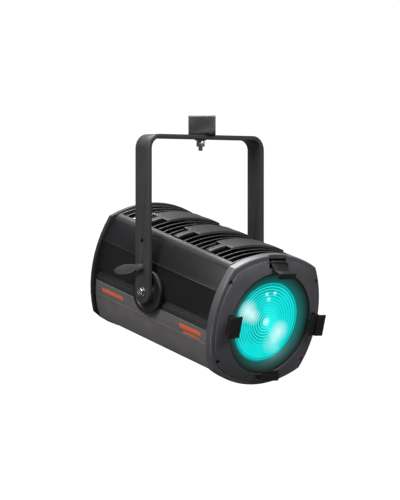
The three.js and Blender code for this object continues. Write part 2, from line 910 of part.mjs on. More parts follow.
// A panel socket: a square flange outside the back wall and a barrel through it.
function panelSocket(x, boreRadius, keyHalf) {
  const flange = box(
    [x - socket.halfWidth, x + socket.halfWidth],
    [socket.y - socket.halfHeight, socket.y + socket.halfHeight],
    [panelBack - 2, panelBack],
  );
  const barrel = rod("z", socket.radius, panelBack - 5, rear.capBack + 17, [x, socket.y], 24);
  const bore = rod("z", boreRadius, panelBack - 6, rear.capBack + 10, [x, socket.y], 24);
  const key = box(
    [x - keyHalf, x + keyHalf],
    [socket.y, socket.y + boreRadius + 1.2],
    [panelBack - 6, rear.capBack + 9],
  );
  return cut(join(flange, barrel), bore, key);
}
const socketNames = ["power_inlet", "power_outlet", "data_inlet", "data_outlet"];
socketNames.forEach((name, i) => {
  const isPower = i < 2;
  add(
    headGroup,
    name,
    panelSocket(socket.xs[i], isPower ? 9.6 : 8.4, isPower ? 3 : 1.6),
    isPower ? "black" : "steel",
  );
});

function safetyEye() {
  const path = new THREE.CatmullRomCurve3(
    [
      [-13, 134, rear.capBack - gap],
      [-13, 134, rear.capBack - 9],
      [-8, 134, rear.capBack - 17],
      [0, 134, rear.capBack - 19],
      [8, 134, rear.capBack - 17],
      [13, 134, rear.capBack - 9],
      [13, 134, rear.capBack - gap],
    ].map((point) => new THREE.Vector3(...point)),
  );
  const section = new THREE.Shape();
  section.absellipse(0, 0, 3, 3, 0, 2 * Math.PI);
  const loop = new THREE.ExtrudeGeometry(section, {
    steps: 16,
    curveSegments: 4,
    extrudePath: path,
  });
  const foot = box([-20, 20], [128, 140], [rear.capBack - gap - 3, rear.capBack - gap]);
  return cut(join(loop, foot), box([-30, 30], [120, 150], [rear.capBack - gap, rear.capBack + 10]));
}
add(headGroup, "safety_eye", safetyEye(), "steel");

// ---- head: inside ----

function bulkhead(from, to, ...holes) {
  return cut(prism("z", bodyOutline(12), from, to), ...holes);
}
const beamHole = (radius, from, to) =>
  rod("z", radius, from, to, [0, head.opticalHeight], 40);
const screwClear = zoom.screwRadius + 0.4;
add(
  headGroup,
  "front_bulkhead",
  bulkhead(203, 206, beamHole(98, 202, 207)),
  "aluminium",
);
add(
  headGroup,
  "rear_bulkhead",
  bulkhead(
    -182,
    -179,
    rod("z", fan.rotor + 1, -183, -178, [fan.x, fan.y], 32),
    rod("z", screwClear, -183, -178, [0, zoom.screwY], 16),
  ),
  "aluminium",
);
for (const [name, side] of [["left", -1], ["right", 1]])
  add(
    headGroup,
    `guide_rod_${name}`,
    rod("z", zoom.rodRadius, -179 + gap, 203 - gap, [side * zoom.rodX, zoom.rodY], 16),
    "steel",
  );
add(headGroup, "power_supply", box([-70, 70], [-124, -86], [-150, 40]), "aluminium");
add(headGroup, "driver_board", box([126, 128], [-8, 58], [-150, -30]), "board");

function fanFrame() {
  const { x, y, half, rotor, back, front } = fan;
  const frame = box([x - half, x + half], [y - half, y + half], [back, front]);
  const bore = rod("z", rotor + 1.6, back - 1, front + 1, [x, y], 32);
  const hub = rod("z", 14, back, back + 4, [x, y], 20);
  const spokes = [0, 1, 2, 3].map((i) =>
    box([12, rotor + 3], [-2, 2], [back, back + 3])
      .rotateZ(((i + 0.5) * Math.PI) / 2)
      .translate(x, y, 0),
  );
  return join(cut(frame, bore), hub, ...spokes);
}
function fanRotor() {
  const { x, y, rotor, back, front } = fan;
  const hub = rod("z", 13, back + 4 + gap, front - 1, [0, 0], 20);
  const blades = Array.from({ length: 7 }, (unused, i) =>
    box([10, rotor], [-1, 1], [-6.5, 6.5])
      .rotateX(-0.7)
      .translate(0, 0, (back + front) / 2 + 1.5)
      .rotateZ((i * 2 * Math.PI) / 7),
  );
  return join(hub, ...blades).translate(x, y, 0);
}
add(headGroup, "fan_frame", fanFrame(), "black");
add(headGroup, "fan_rotor", fanRotor(), "black");

// ---- zoom carriage with the light engine, and its screw and knob ----

const carriage = { half: 112, low: -78, high: 78, thickness: 6 };
add(
  headGroup,
  "carriage_plate",
  cut(
    box(
      [-carriage.half, carriage.half],
      [carriage.low, carriage.high],
      [zoom.rest - carriage.thickness, zoom.rest],
    ),
    rod("z", zoom.rodRadius + 0.4, zoom.rest - 10, zoom.rest + 5, [zoom.rodX, zoom.rodY], 16),
    rod("z", zoom.rodRadius + 0.4, zoom.rest - 10, zoom.rest + 5, [-zoom.rodX, zoom.rodY], 16),
    rod("z", screwClear, zoom.rest - 10, zoom.rest + 5, [0, zoom.screwY], 16),
  ),
  "aluminium",
);

function heatsink() {
  const back = zoom.rest - carriage.thickness - gap;
  const fins = 11;
  const baseHalf = 75;
  const rows = Array.from({ length: fins }, (unused, i) => {
    const x = -baseHalf + 1.5 + (i * (2 * baseHalf - 3)) / (fins - 1);
    return box([x - 1.5, x + 1.5], [-54, 66], [back - 80, back - 7]);
  });
  return join(box([-baseHalf, baseHalf], [-54, 66], [back - 8, back]), ...rows);
}
add(headGroup, "heatsink", heatsink(), "aluminium");
add(
  headGroup,
  "led_module",
  aboutBeam(
    [
      [0, zoom.rest + gap],
      [46, zoom.rest + gap],
      [46, zoom.rest + 9],
      [30, zoom.rest + 9],
      [28, zoom.rest + 5],
      [0, zoom.rest + 5],
    ],
    32,
  ),
  "led",
);
add(
  headGroup,
  "mixing_reflector",
  aboutBeam(
    [
      [31, zoom.rest + 9 + gap],
      [58, zoom.rest + 62],
      [61, zoom.rest + 62],
      [34, zoom.rest + 9 + gap],
    ].reverse(),
    32,
  ),
  "aluminium",
);
add(
  headGroup,
  "lead_screw",
  rod("z", zoom.screwRadius, rear.capBack - 6, zoom.rest + 30, [0, zoom.screwY], 16),
  "steel",
);

function zoomKnob() {
  const from = rear.capBack - 22;
  const to = rear.capBack - 6 - gap;
  const body = rod("z", knob.radius, from, to, [0, 0], 24);
  const flutes = Array.from({ length: 8 }, (unused, i) =>
    rod("z", 3, from - 1, to + 1, [knob.radius + 1, 0], 10).rotateZ((i * Math.PI) / 4),
  );
  const skirt = rod("z", knob.radius + 1.5, rear.capBack - 6 - gap - 3, to, [0, 0], 24);
  return join(cut(body, ...flutes), skirt).translate(knob.x, knob.y, 0);
}
add(headGroup, "zoom_knob", zoomKnob(), "rubber");

export default luminaire;
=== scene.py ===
import bpy
import json
import math
from mathutils import Matrix, Vector

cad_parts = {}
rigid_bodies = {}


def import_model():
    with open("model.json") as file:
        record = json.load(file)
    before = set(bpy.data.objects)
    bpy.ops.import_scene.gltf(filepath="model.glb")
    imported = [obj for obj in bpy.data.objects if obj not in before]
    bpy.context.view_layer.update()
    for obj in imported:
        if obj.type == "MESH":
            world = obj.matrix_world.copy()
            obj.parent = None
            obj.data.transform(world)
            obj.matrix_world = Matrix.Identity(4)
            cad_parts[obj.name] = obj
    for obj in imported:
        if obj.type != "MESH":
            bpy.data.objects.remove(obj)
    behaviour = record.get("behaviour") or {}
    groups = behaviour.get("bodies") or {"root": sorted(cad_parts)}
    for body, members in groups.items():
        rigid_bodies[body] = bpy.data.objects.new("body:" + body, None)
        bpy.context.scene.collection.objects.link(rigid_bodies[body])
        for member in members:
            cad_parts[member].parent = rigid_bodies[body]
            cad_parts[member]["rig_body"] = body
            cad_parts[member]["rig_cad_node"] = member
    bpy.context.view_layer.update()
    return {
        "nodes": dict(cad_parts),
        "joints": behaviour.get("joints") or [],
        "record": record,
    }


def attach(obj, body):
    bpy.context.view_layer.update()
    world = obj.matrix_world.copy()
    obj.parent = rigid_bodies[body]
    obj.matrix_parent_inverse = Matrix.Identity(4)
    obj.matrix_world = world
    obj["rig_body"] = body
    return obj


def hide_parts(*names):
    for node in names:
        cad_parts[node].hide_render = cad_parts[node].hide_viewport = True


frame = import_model()
nodes = frame["nodes"]
record = frame["record"]
bodyOf = {n: body for body, names in record["behaviour"]["bodies"].items() for n in names}
slotOf = {part["node"]: part["material_slot"] for part in record["subparts"]}

# The head is modelled level: x across, y up, z along the beam, in metres from the tilt axis.
beam = next(j["axis"] for j in frame["joints"] if j["name"] == "zoom_travel")
pivot = next(j["pos_m"] for j in frame["joints"] if j["name"] == "tilt")
headTurn = math.radians(90) + math.atan2(-beam[2], -beam[1])
headMatrix = Matrix.Translation(pivot) @ Matrix.Rotation(headTurn, 4, "X")
beamHeight = -0.003


def newMaterial(name):
    material = bpy.data.materials.new(name)
    material.use_nodes = True
    tree = material.node_tree
    shader = next(n for n in tree.nodes if n.type == "BSDF_PRINCIPLED")
    return material, tree, shader


def objectPoint(tree, scale=(1, 1, 1)):
    coordinates = tree.nodes.new("ShaderNodeTexCoord")
    mapping = tree.nodes.new("ShaderNodeMapping")
    mapping.inputs["Scale"].default_value = scale
    tree.links.new(coordinates.outputs["Object"], mapping.inputs["Vector"])
    return mapping.outputs["Vector"]


def noise(tree, point, scale, detail):
    node = tree.nodes.new("ShaderNodeTexNoise")
    node.inputs["Scale"].default_value = scale
    node.inputs["Detail"].default_value = detail
    tree.links.new(point, node.inputs["Vector"])
    return node.outputs["Fac"]


def ranged(tree, value, low, high, fromLow=0.3, fromHigh=0.7):
    node = tree.nodes.new("ShaderNodeMapRange")
    node.inputs["From Min"].default_value = fromLow
    node.inputs["From Max"].default_value = fromHigh
    node.inputs["To Min"].default_value = low
    node.inputs["To Max"].default_value = high
    tree.links.new(value, node.inputs["Value"])
    return node.outputs["Result"]


def twoColours(tree, value, dark, light):
    ramp = tree.nodes.new("ShaderNodeValToRGB")
    ramp.color_ramp.elements[0].position = 0.3
    ramp.color_ramp.elements[0].color = (*dark, 1)
    ramp.color_ramp.elements[1].position = 0.72
    ramp.color_ramp.elements[1].color = (*light, 1)
    tree.links.new(value, ramp.inputs["Fac"])
    return ramp.outputs["Color"]


def bump(tree, shader, value, strength, distance):
    node = tree.nodes.new("ShaderNodeBump")
    node.inputs["Strength"].default_value = strength
    node.inputs["Distance"].default_value = distance
    tree.links.new(value, node.inputs["Height"])
    tree.links.new(node.outputs["Normal"], shader.inputs["Normal"])


def paint(name, colour, rough, spread=0.12, grain=1500, grainDepth=0.12, shine=0.5):
    material, tree, shader = newMaterial(name)
    point = objectPoint(tree)
    broad = noise(tree, point, 22, 4)
    dark = tuple(c * (1 - spread) for c in colour)
    light = tuple(c * (1 + spread) for c in colour)
    tree.links.new(twoColours(tree, broad, dark, light), shader.inputs["Base Color"])
    fine = noise(tree, point, grain, 2)
    tree.links.new(ranged(tree, fine, rough - 0.06, rough + 0.08), shader.inputs["Roughness"])
    shader.inputs["Specular IOR Level"].default_value = shine
    bump(tree, shader, fine, grainDepth, 0.0003)
    return material


def metal(name, colour, rough, stretch=(1, 1, 1)):
    material, tree, shader = newMaterial(name)
    point = objectPoint(tree, stretch)
    streak = noise(tree, point, 400, 4)
    dark = tuple(c * 0.82 for c in colour)
    tree.links.new(twoColours(tree, streak, dark, colour), shader.inputs["Base Color"])
    tree.links.new(ranged(tree, streak, rough - 0.07, rough + 0.1), shader.inputs["Roughness"])
    shader.inputs["Metallic"].default_value = 1.0
    bump(tree, shader, streak, 0.08, 0.0002)
    return material


def lit(name, colour, strength, rough=0.3):
    material, tree, shader = newMaterial(name)
    point = objectPoint(tree)
    broad = noise(tree, point, 60, 2)
    dark = tuple(c * 0.85 for c in colour)
    tree.links.new(twoColours(tree, broad, dark, colour), shader.inputs["Base Color"])
    shader.inputs["Roughness"].default_value = rough
    shader.inputs["Emission Color"].default_value = (*colour, 1)
    shader.inputs["Emission Strength"].default_value = strength
    return material


lensLook = {
    "edge": (0.0, 0.16, 0.15),
    "mid": (0.005, 0.74, 0.71),
    "core": (0.03, 0.98, 0.93),
    "hot": (0.72, 1.0, 0.99),
    "strength": 1.0,
    "radius": 0.096,
    # place across and up from the beam, reach, strength of each hot spot
    "spots": [
        ((-0.062, 0.026), 0.03, 1.0),
        ((-0.04, 0.012), 0.022, 0.7),
        ((0.045, -0.024), 0.03, 0.8),
        ((0.03, -0.05), 0.03, 0.35),
        ((0.0, 0.0), 0.012, 1.0),
        ((-0.012, 0.066), 0.006, 1.0),
        ((0.012, 0.068), 0.006, 1.0),
        ((-0.004, 0.054), 0.007, 0.8),
    ],
    "grooves": 14,
}


def lensMaterial():
    look = lensLook
    material, tree, shader = newMaterial("moulded lens, lit")
    link = tree.links.new
    coordinates = tree.nodes.new("ShaderNodeTexCoord")
    centre = headMatrix @ Vector((0, beamHeight, 0.2417))
    place = tree.nodes.new("ShaderNodeMapping")
    place.vector_type = "TEXTURE"
    place.inputs["Location"].default_value = centre
    place.inputs["Rotation"].default_value = (headTurn, 0, 0)
    link(coordinates.outputs["Object"], place.inputs["Vector"])
    flat = tree.nodes.new("ShaderNodeVectorMath")
    flat.operation = "MULTIPLY"
    flat.inputs[1].default_value = (1, 1, 0)
    link(place.outputs["Vector"], flat.inputs[0])

    def distanceTo(x, y):
        node = tree.nodes.new("ShaderNodeVectorMath")
        node.operation = "DISTANCE"
        node.inputs[1].default_value = (x, y, 0)
        link(flat.outputs["Vector"], node.inputs[0])
        return node.outputs["Value"]

    radius = distanceTo(0, 0)
    ramp = tree.nodes.new("ShaderNodeValToRGB")
    elements = ramp.color_ramp.elements
    elements[0].position, elements[0].color = 0.0, (*look["core"], 1)
    elements[1].position, elements[1].color = 1.0, (*look["edge"], 1)
    for position, key in ((0.45, "mid"), (0.86, "mid")):
        extra = elements.new(position)
        extra.color = (*look[key], 1)
    link(ranged(tree, radius, 0, 1, 0, look["radius"] + 0.002), ramp.inputs["Fac"])

    total = None
    for (x, y), reach, strength in look["spots"]:
        value = ranged(tree, distanceTo(x, y), strength, 0, 0, reach)
        if total is None:
            total = value
        else:
            adding = tree.nodes.new("ShaderNodeMath")
            adding.operation = "ADD"
            adding.use_clamp = True
            link(total, adding.inputs[0])
            link(value, adding.inputs[1])
            total = adding.outputs["Value"]
    # rings of brighter light follow the grooves
    wave = tree.nodes.new("ShaderNodeMath")
    wave.operation = "SINE"
    link(ranged(tree, radius, 0, 2 * math.pi * look["grooves"], 0, look["radius"]), wave.inputs[0])
    ripple = ranged(tree, wave.outputs["Value"], 0.25, 1.25, -1, 1)
    shaded = tree.nodes.new("ShaderNodeMix")
    shaded.data_type = "RGBA"
    shaded.blend_type = "MULTIPLY"
    patches = noise(tree, objectPoint(tree), 14, 2)
    link(ranged(tree, patches, 0.1, 0.95, 0.4, 0.6), shaded.inputs[0])
    link(ramp.outputs["Color"], shaded.inputs[6])
    link(ripple, shaded.inputs[7])
    hot = tree.nodes.new("ShaderNodeMix")
    hot.data_type = "RGBA"
    link(total, hot.inputs[0])
    link(shaded.outputs[2], hot.inputs[6])
    hot.inputs[7].default_value = (*look["hot"], 1)
    link(hot.outputs[2], shader.inputs["Emission Color"])
    shader.inputs["Emission Strength"].default_value = look["strength"]
    shader.inputs["Base Color"].default_value = (0.0, 0.02, 0.018, 1)
    shader.inputs["Roughness"].default_value = 0.2
    shader.inputs["Specular IOR Level"].default_value = 0.3
    return material


# The funnel round the lens catches a little of its light.
def baffleMaterial():
    material, tree, shader = newMaterial("black baffle, lit by the lens")
    link = tree.links.new
    coordinates = tree.nodes.new("ShaderNodeTexCoord")
    place = tree.nodes.new("ShaderNodeMapping")
    place.vector_type = "TEXTURE"
    place.inputs["Location"].default_value = headMatrix @ Vector((0, beamHeight, 0.24))
    place.inputs["Rotation"].default_value = (headTurn, 0, 0)
    link(coordinates.outputs["Object"], place.inputs["Vector"])
    depth = tree.nodes.new("ShaderNodeSeparateXYZ")
    link(place.outputs["Vector"], depth.inputs["Vector"])
    glow = ranged(tree, depth.outputs["Z"], 1, 0, -0.002, 0.011)
    side = ranged(tree, depth.outputs["X"], 0.25, 1, -0.1, 0.1)
    both = tree.nodes.new("ShaderNodeMath")
    both.operation = "MULTIPLY"
    link(glow, both.inputs[0])
    link(side, both.inputs[1])
    ramp = tree.nodes.new("ShaderNodeValToRGB")
    ramp.color_ramp.elements[0].color = (0, 0, 0, 1)
    ramp.color_ramp.elements[1].color = (0.0, 0.16, 0.14, 1)
    link(both.outputs["Value"], ramp.inputs["Fac"])
    link(ramp.outputs["Color"], shader.inputs["Emission Color"])
    shader.inputs["Emission Strength"].default_value = 1.0
    fine = noise(tree, objectPoint(tree), 1800, 2)
    link(twoColours(tree, fine, (0.008, 0.009, 0.009), (0.012, 0.014, 0.014)), shader.inputs["Base Color"])
    shader.inputs["Roughness"].default_value = 0.45
    bump(tree, shader, fine, 0.12, 0.0003)
    return material


looks = {
    "black": paint("satin black paint", (0.016, 0.016, 0.018), 0.42),
    "yoke_paint": paint("dark grey powder coat", (0.028, 0.027, 0.031), 0.42, grainDepth=0.2),
    "panelPaint": paint("side panel paint", (0.008, 0.008, 0.009), 0.38, grainDepth=0.15, shine=0.22),
    "casting_grey": paint("grey cast housing", (0.064, 0.062, 0.068), 0.42, grainDepth=0.25),
    "coverPaint": paint("top cover paint", (0.022, 0.021, 0.02), 0.42, grainDepth=0.2, shine=0.35),
    "shell_grey": paint("warm grey shell", (0.118, 0.108, 0.111), 0.42, grainDepth=0.2),
    "steel": metal("zinc plated steel", (0.36, 0.36, 0.38), 0.27),
    "aluminium": metal("mill finish aluminium", (0.6, 0.61, 0.63), 0.38, (1, 1, 0.05)),
    "black_plastic": paint("moulded black plastic", (0.02, 0.02, 0.022), 0.38, grain=2600),
    "knob_rubber": paint("soft black rubber", (0.014, 0.014, 0.014), 0.75, grain=2200),
    "lens_glass": lensMaterial(),
    "display_glass": lit("display window", (0.02, 0.05, 0.07), 0.25, 0.12),
    "led_plate": lit("led plate", (0.75, 0.95, 0.6), 1.2, 0.5),
    "circuit_board": paint("green circuit board", (0.02, 0.13, 0.05), 0.35),
    "capPaint": paint("rear cap paint", (0.018, 0.018, 0.02), 0.5, grainDepth=0.2, shine=0.3),
    "holderPaint": paint("holder paint", (0.009, 0.009, 0.01), 0.4, shine=0.3),
    "discPaint": paint("disc paint", (0.01, 0.01, 0.011), 0.4, shine=0.35),
    "clampPaint": paint("clamp paint", (0.02, 0.02, 0.023), 0.36, grainDepth=0.3),
    "leverPlastic": paint("moulded grey plastic", (0.05, 0.047, 0.05), 0.35, grain=2600),
    # near black and without shine: painted shade for the inside of the vents and the pocket behind the latch
    "paintedShadeBlack": paint("near black, painted shade", (0.002, 0.002, 0.002), 0.9, shine=0.0),
    "orange": paint("orange print", (0.62, 0.11, 0.035), 0.5, 0.06),
    "baffleBlack": baffleMaterial(),
}
for name, node in nodes.items():
    node.data.materials.clear()
    node.data.materials.append(looks[slotOf[name]])
print("materials made:", len(looks))


def deselectAll():
    if bpy.context.object and bpy.context.object.mode != "OBJECT":
        bpy.ops.object.mode_set(mode="OBJECT")
    bpy.ops.object.select_all(action="DESELECT")


def activate(piece):
    deselectAll()
    piece.select_set(True)
    bpy.context.view_layer.objects.active = piece


def selectFaces(piece, test):
    bpy.ops.object.mode_set(mode="EDIT")
    bpy.ops.mesh.select_mode(type="FACE")
    bpy.ops.mesh.select_all(action="DESELECT")
    bpy.ops.object.mode_set(mode="OBJECT")
    for face in piece.data.polygons:
        face.select = test(face.center)
    bpy.ops.object.mode_set(mode="EDIT")


def applyModifier(piece, kind, **settings):
    activate(piece)
    modifier = piece.modifiers.new(kind.title(), kind)
    for key, value in settings.items():
        setattr(modifier, key, value)
    bpy.ops.object.modifier_apply(modifier=modifier.name)


def bevelEdges(piece, width, angle=32):
    applyModifier(
        piece,
        "BEVEL",
        width=width,
        segments=2,
        limit_method="ANGLE",
        angle_limit=math.radians(angle),
        use_clamp_overlap=True,
    )


def smooth(piece, angle):
    activate(piece)
    bpy.ops.object.shade_smooth_by_angle(angle=math.radians(angle))


def outline(name, points):
    deselectAll()
    bpy.ops.mesh.primitive_circle_add(vertices=len(points), radius=0.01)
    piece = bpy.context.object
    piece.name = name
    for vertex, place in zip(piece.data.vertices, points):
        vertex.co = place
    return piece


def finished(piece, body, material, matrix=None, replaces=(), angle=35):
    if matrix is not None:
        piece.data.transform(matrix)
    piece.data.materials.clear()
    piece.data.materials.append(looks[material])
    smooth(piece, angle)
    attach(piece, body)
    if replaces:
        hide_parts(*replaces)
    return piece


# A closed shell through outlines of equal length; the first and last are filled or joined.
def loft(name, loops, ends="fill"):
    piece = outline(name, loops[0])
    activate(piece)
    bpy.ops.object.mode_set(mode="EDIT")
    bpy.ops.mesh.select_all(action="SELECT")
    count = len(loops[0])
    for points in loops[1:]:
        bpy.ops.mesh.extrude_edges_move()
        bpy.ops.object.mode_set(mode="OBJECT")
        vertices = piece.data.vertices
        start = len(vertices) - count
        old = {tuple(round(c, 7) for c in vertices[start - count + i].co): i for i in range(count)}
        for i in range(count):
            vertex = vertices[start + i]
            vertex.co = points[old[tuple(round(c, 7) for c in vertex.co)]]
        # keep the new loop in the order of its points
        order = {tuple(round(c, 7) for c in Vector(p)): i for i, p in enumerate(points)}
        inOrder = all(order[tuple(round(c, 7) for c in vertices[start + i].co)] == i for i in range(count))
        if not inOrder:
            raise ValueError("the outline's order changed")
        bpy.ops.object.mode_set(mode="EDIT")
    if ends == "fill":
        bpy.ops.mesh.edge_face_add()
        bpy.ops.object.mode_set(mode="OBJECT")
        first = set(range(count))
        for edge in piece.data.edges:
            edge.select = edge.vertices[0] in first and edge.vertices[1] in first
        for vertex in piece.data.vertices:
            vertex.select = vertex.index in first
        bpy.ops.object.mode_set(mode="EDIT")
        bpy.ops.mesh.edge_face_add()
    elif ends == "join":
        bpy.ops.mesh.select_all(action="DESELECT")
        bpy.ops.mesh.select_mode(type="EDGE")
        bpy.ops.mesh.select_non_manifold()
        bpy.ops.mesh.bridge_edge_loops()
    bpy.ops.mesh.select_all(action="SELECT")
    bpy.ops.mesh.normals_make_consistent(inside=False)
    bpy.ops.object.mode_set(mode="OBJECT")
    return piece


def bar(name, section, start, end):
    return loft(name, [[(x, y, start) for x, y in section], [(x, y, end) for x, y in section]])


# A body turned about the Z axis from its half section, as (radius, place).
def turned(name, section, steps):
    piece = outline(name, [(r, 0, z) for r, z in section])
    activate(piece)
    bpy.ops.object.mode_set(mode="EDIT")
    bpy.ops.mesh.select_all(action="SELECT")
    bpy.ops.mesh.spin(steps=steps, angle=2 * math.pi, center=(0, 0, 0), axis=(0, 0, 1))
    bpy.ops.mesh.select_all(action="SELECT")
    bpy.ops.mesh.remove_doubles(threshold=0.00002)
    bpy.ops.mesh.select_all(action="DESELECT")
    bpy.ops.mesh.select_mode(type="EDGE")
    bpy.ops.mesh.select_interior_faces()
    bpy.ops.mesh.delete(type="FACE")
    bpy.ops.mesh.select_all(action="SELECT")
    bpy.ops.mesh.normals_make_consistent(inside=False)
    bpy.ops.object.mode_set(mode="OBJECT")
    return piece


def cutBy(piece, tool):
    activate(piece)
    modifier = piece.modifiers.new("Cut", "BOOLEAN")
    modifier.operation = "DIFFERENCE"
    modifier.solver = "EXACT"
    modifier.object = tool
    bpy.ops.object.modifier_apply(modifier=modifier.name)
    bpy.data.objects.remove(tool)


def cutRod(piece, radius, low, high, matrix, sides):
    deselectAll()
    bpy.ops.mesh.primitive_cylinder_add(vertices=sides, radius=radius, depth=high - low)
    tool = bpy.context.object
    tool.data.transform(matrix @ Matrix.Translation((0, 0, (low + high) / 2)))
    cutBy(piece, tool)


def cutBox(piece, low, high):
    deselectAll()
    bpy.ops.mesh.primitive_cube_add(size=1)
    tool = bpy.context.object
    low, high = Vector(low), Vector(high)
    for vertex in tool.data.vertices:
        vertex.co = [high[i] if vertex.co[i] > 0 else low[i] for i in range(3)]
    cutBy(piece, tool)


# A CAD solid with its doubles merged, its flats cleaned up and its edges rounded.
def dressed(name, width, material):
    source = nodes[name]
    deselectAll()
    piece = source.copy()
    piece.data = source.data.copy()
    piece.name = name + "_dressed"
    piece.parent = None
    piece.matrix_world = Matrix.Identity(4)
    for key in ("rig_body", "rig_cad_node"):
        if key in piece:
            del piece[key]
    bpy.context.scene.collection.objects.link(piece)
    activate(piece)
    bpy.ops.object.mode_set(mode="EDIT")
    bpy.ops.mesh.select_all(action="SELECT")
    bpy.ops.mesh.remove_doubles(threshold=0.00001)
    bpy.ops.mesh.dissolve_limited(angle_limit=math.radians(1.5))
    bpy.ops.object.mode_set(mode="OBJECT")
    bevelEdges(piece, width)
    slot = slotOf[name]
    return finished(piece, bodyOf[name], material or slot, replaces=(name,))


# Points on an arc from a to b that bulges by rise to the right of the way it goes.
def arc(a, b, rise, steps):
    ax, ay = a
    bx, by = b
    chord = math.hypot(bx - ax, by - ay)
    radius = chord * chord / (8 * rise) + rise / 2
    right = ((by - ay) / chord, -(bx - ax) / chord)
    cx = (ax + bx) / 2 - right[0] * (radius - rise)
    cy = (ay + by) / 2 - right[1] * (radius - rise)
    start = math.atan2(ay - cy, ax - cx)
    sweep = (math.atan2(by - cy, bx - cx) - start) % (2 * math.pi)
    return [
        (
            cx + radius * math.cos(start + sweep * i / steps),
            cy + radius * math.sin(start + sweep * i / steps),
        )
        for i in range(steps)
    ]


def fourArcs(shape, inset, steps):
    tx, ty = shape["topCorner"][0] - inset, shape["topCorner"][1] - inset
    lx, ly = shape["lowerCorner"][0] - inset, shape["lowerCorner"][1] + inset
    return (
        arc((lx, ly), (tx, ty), shape["sideRise"], steps)
        + arc((tx, ty), (-tx, ty), shape["topRise"], steps)
        + arc((-tx, ty), (-lx, ly), shape["sideRise"], steps)
        + arc((-lx, ly), (lx, ly), shape["bottomDrop"], steps)
    )


ringShape = {
    "topCorner": (0.1245, 0.125),
    "lowerCorner": (0.1315, -0.118),
    "topRise": 0.031,
    "sideRise": 0.032,
    "bottomDrop": 0.037,
    "bore": 0.121,
    # inset from the outline, share of the way in to the bore, place along the beam
    "profile": [
        (0, 1, 0.219),
        (0.0012, 0, 0.219),
        (0, 0, 0.2202),
        (0, 0, 0.2368),
        (0.0004, 0, 0.2385),
        (0.0016, 0, 0.2400),
        (0.0036, 0, 0.2408),
        (0.0098, 0, 0.2418),
        (0.0104, 0, 0.2432),
        (0.0116, 0, 0.2440),
        (0.0116, 0.5, 0.2495),
        (0.0116, 0.9, 0.2534),
        (0.0116, 0.97, 0.254),
        (0.0116, 1, 0.2534),
        (0, 1, 0.2500),
    ],
    "steps": 26,
    "notch": ((-0.0285, 0.127, 0.235), (0.0285, 0.17, 0.262)),
    "screws": [(0.131, 0.093), (-0.131, 0.093), (0.128, -0.095), (-0.128, -0.095)],
    "screwRadius": 0.005,
    "screwDepth": (0.2340, 0.2600),
    "pinRadius": 0.0023,
    "pinHalf": 0.034,
    "pinPlace": (0, 0.139, 0.243),
}


def frontRing():
    r = ringShape
    loops = []
    for inset, share, z in r["profile"]:
        points = []
        for x, y in fourArcs(r, inset, r["steps"]):
            angle = math.atan2(y - beamHeight, x)
            cx, cy = r["bore"] * math.cos(angle), beamHeight + r["bore"] * math.sin(angle)
            points.append((x + (cx - x) * share, y + (cy - y) * share, z))
        loops.append(points)
    ring = loft("frontRing", loops, ends="join")
    cutBox(ring, *r["notch"])
    for x, y in r["screws"]:
        cutRod(ring, r["screwRadius"], *r["screwDepth"], Matrix.Translation((x, y, 0)), 24)
    # the latch pin's bore
    pinTurn = Matrix.Translation(r["pinPlace"]) @ Matrix.Rotation(math.pi / 2, 4, "Y")
    cutRod(ring, r["pinRadius"], -r["pinHalf"], r["pinHalf"], pinTurn, 16)
    finished(ring, "head", "casting_grey", headMatrix, ["front_ring"], 28)


frontRing()


pocketShape = {
    "floor": 0.1272,
    "top": 0.1468,
    "wall": 0.2352,
    "front": 0.2495,
    "half": 0.0281,
    "sheet": 0.0008,
}


# The pocket behind the latch: a floor and a back wall, drawn on its side and turned up, coloured near black
# as painted shade.
def latchPocket():
    p = pocketShape
    under = -p["floor"] - p["sheet"]
    section = [
        (-p["top"], p["wall"]),
        (-p["floor"], p["wall"]),
        (-p["floor"], p["front"]),
        (under, p["front"]),
        (under, p["wall"] + p["sheet"]),
        (-p["top"], p["wall"] + p["sheet"]),
    ]
    pocket = bar("latchPocket", section, -p["half"], p["half"])
    turn = Matrix(((0, 0, 1, 0), (-1, 0, 0, 0), (0, 1, 0, 0), (0, 0, 0, 1)))
    pocket.data.transform(turn)
    activate(pocket)
    bpy.ops.object.mode_set(mode="EDIT")
    bpy.ops.mesh.select_all(action="SELECT")
    bpy.ops.mesh.normals_make_consistent(inside=False)
    bpy.ops.object.mode_set(mode="OBJECT")
    bevelEdges(pocket, 0.0002, 30)
    finished(pocket, "head", "paintedShadeBlack", headMatrix, angle=30)


latchPocket()


screwSection = [
    (0, 0.2345),
    (0.0046, 0.2345),
    (0.0046, 0.2385),
    (0.0038, 0.2392),
    (0.0021, 0.2392),
    (0.0021, 0.2372),
    (0, 0.2372),
]


def ringScrew(x, y):
    screw = turned("ringScrew", screwSection, 24)
    finished(screw, "head", "black", headMatrix @ Matrix.Translation((x, y, 0)), angle=30)


for place in ringShape["screws"]:
    ringScrew(*place)
print("front ring")

lensShape = {
    "count": 14,
    "radius": 0.1,
    "grooved": 0.0955,
    "shoulder": 0.0965,
    "back": 0.228,
    "rim": 0.2405,
    "rise": 0.0022,
    "step": 0.001,
}


def fresnelLens():
    p = lensShape
    shelf = p["rim"] - p["step"]
    section = [(0, p["back"]), (p["radius"], p["back"]), (p["radius"], shelf), (p["shoulder"], shelf)]
    pitch = p["grooved"] / p["count"]
    for i in range(p["count"], 0, -1):
        section.append((i * pitch, p["rim"] - p["rise"]))
        section.append(((i - 1) * pitch + pitch * 0.25, p["rim"]))
    section.append((0, p["rim"] + 0.0003))
    lens = turned("fresnelLens", section, 128)
    place = headMatrix @ Matrix.Translation((0, beamHeight, 0))
    finished(lens, "head", "lens_glass", place, ["fresnel_lens"], 20)


fresnelLens()
print("lens")

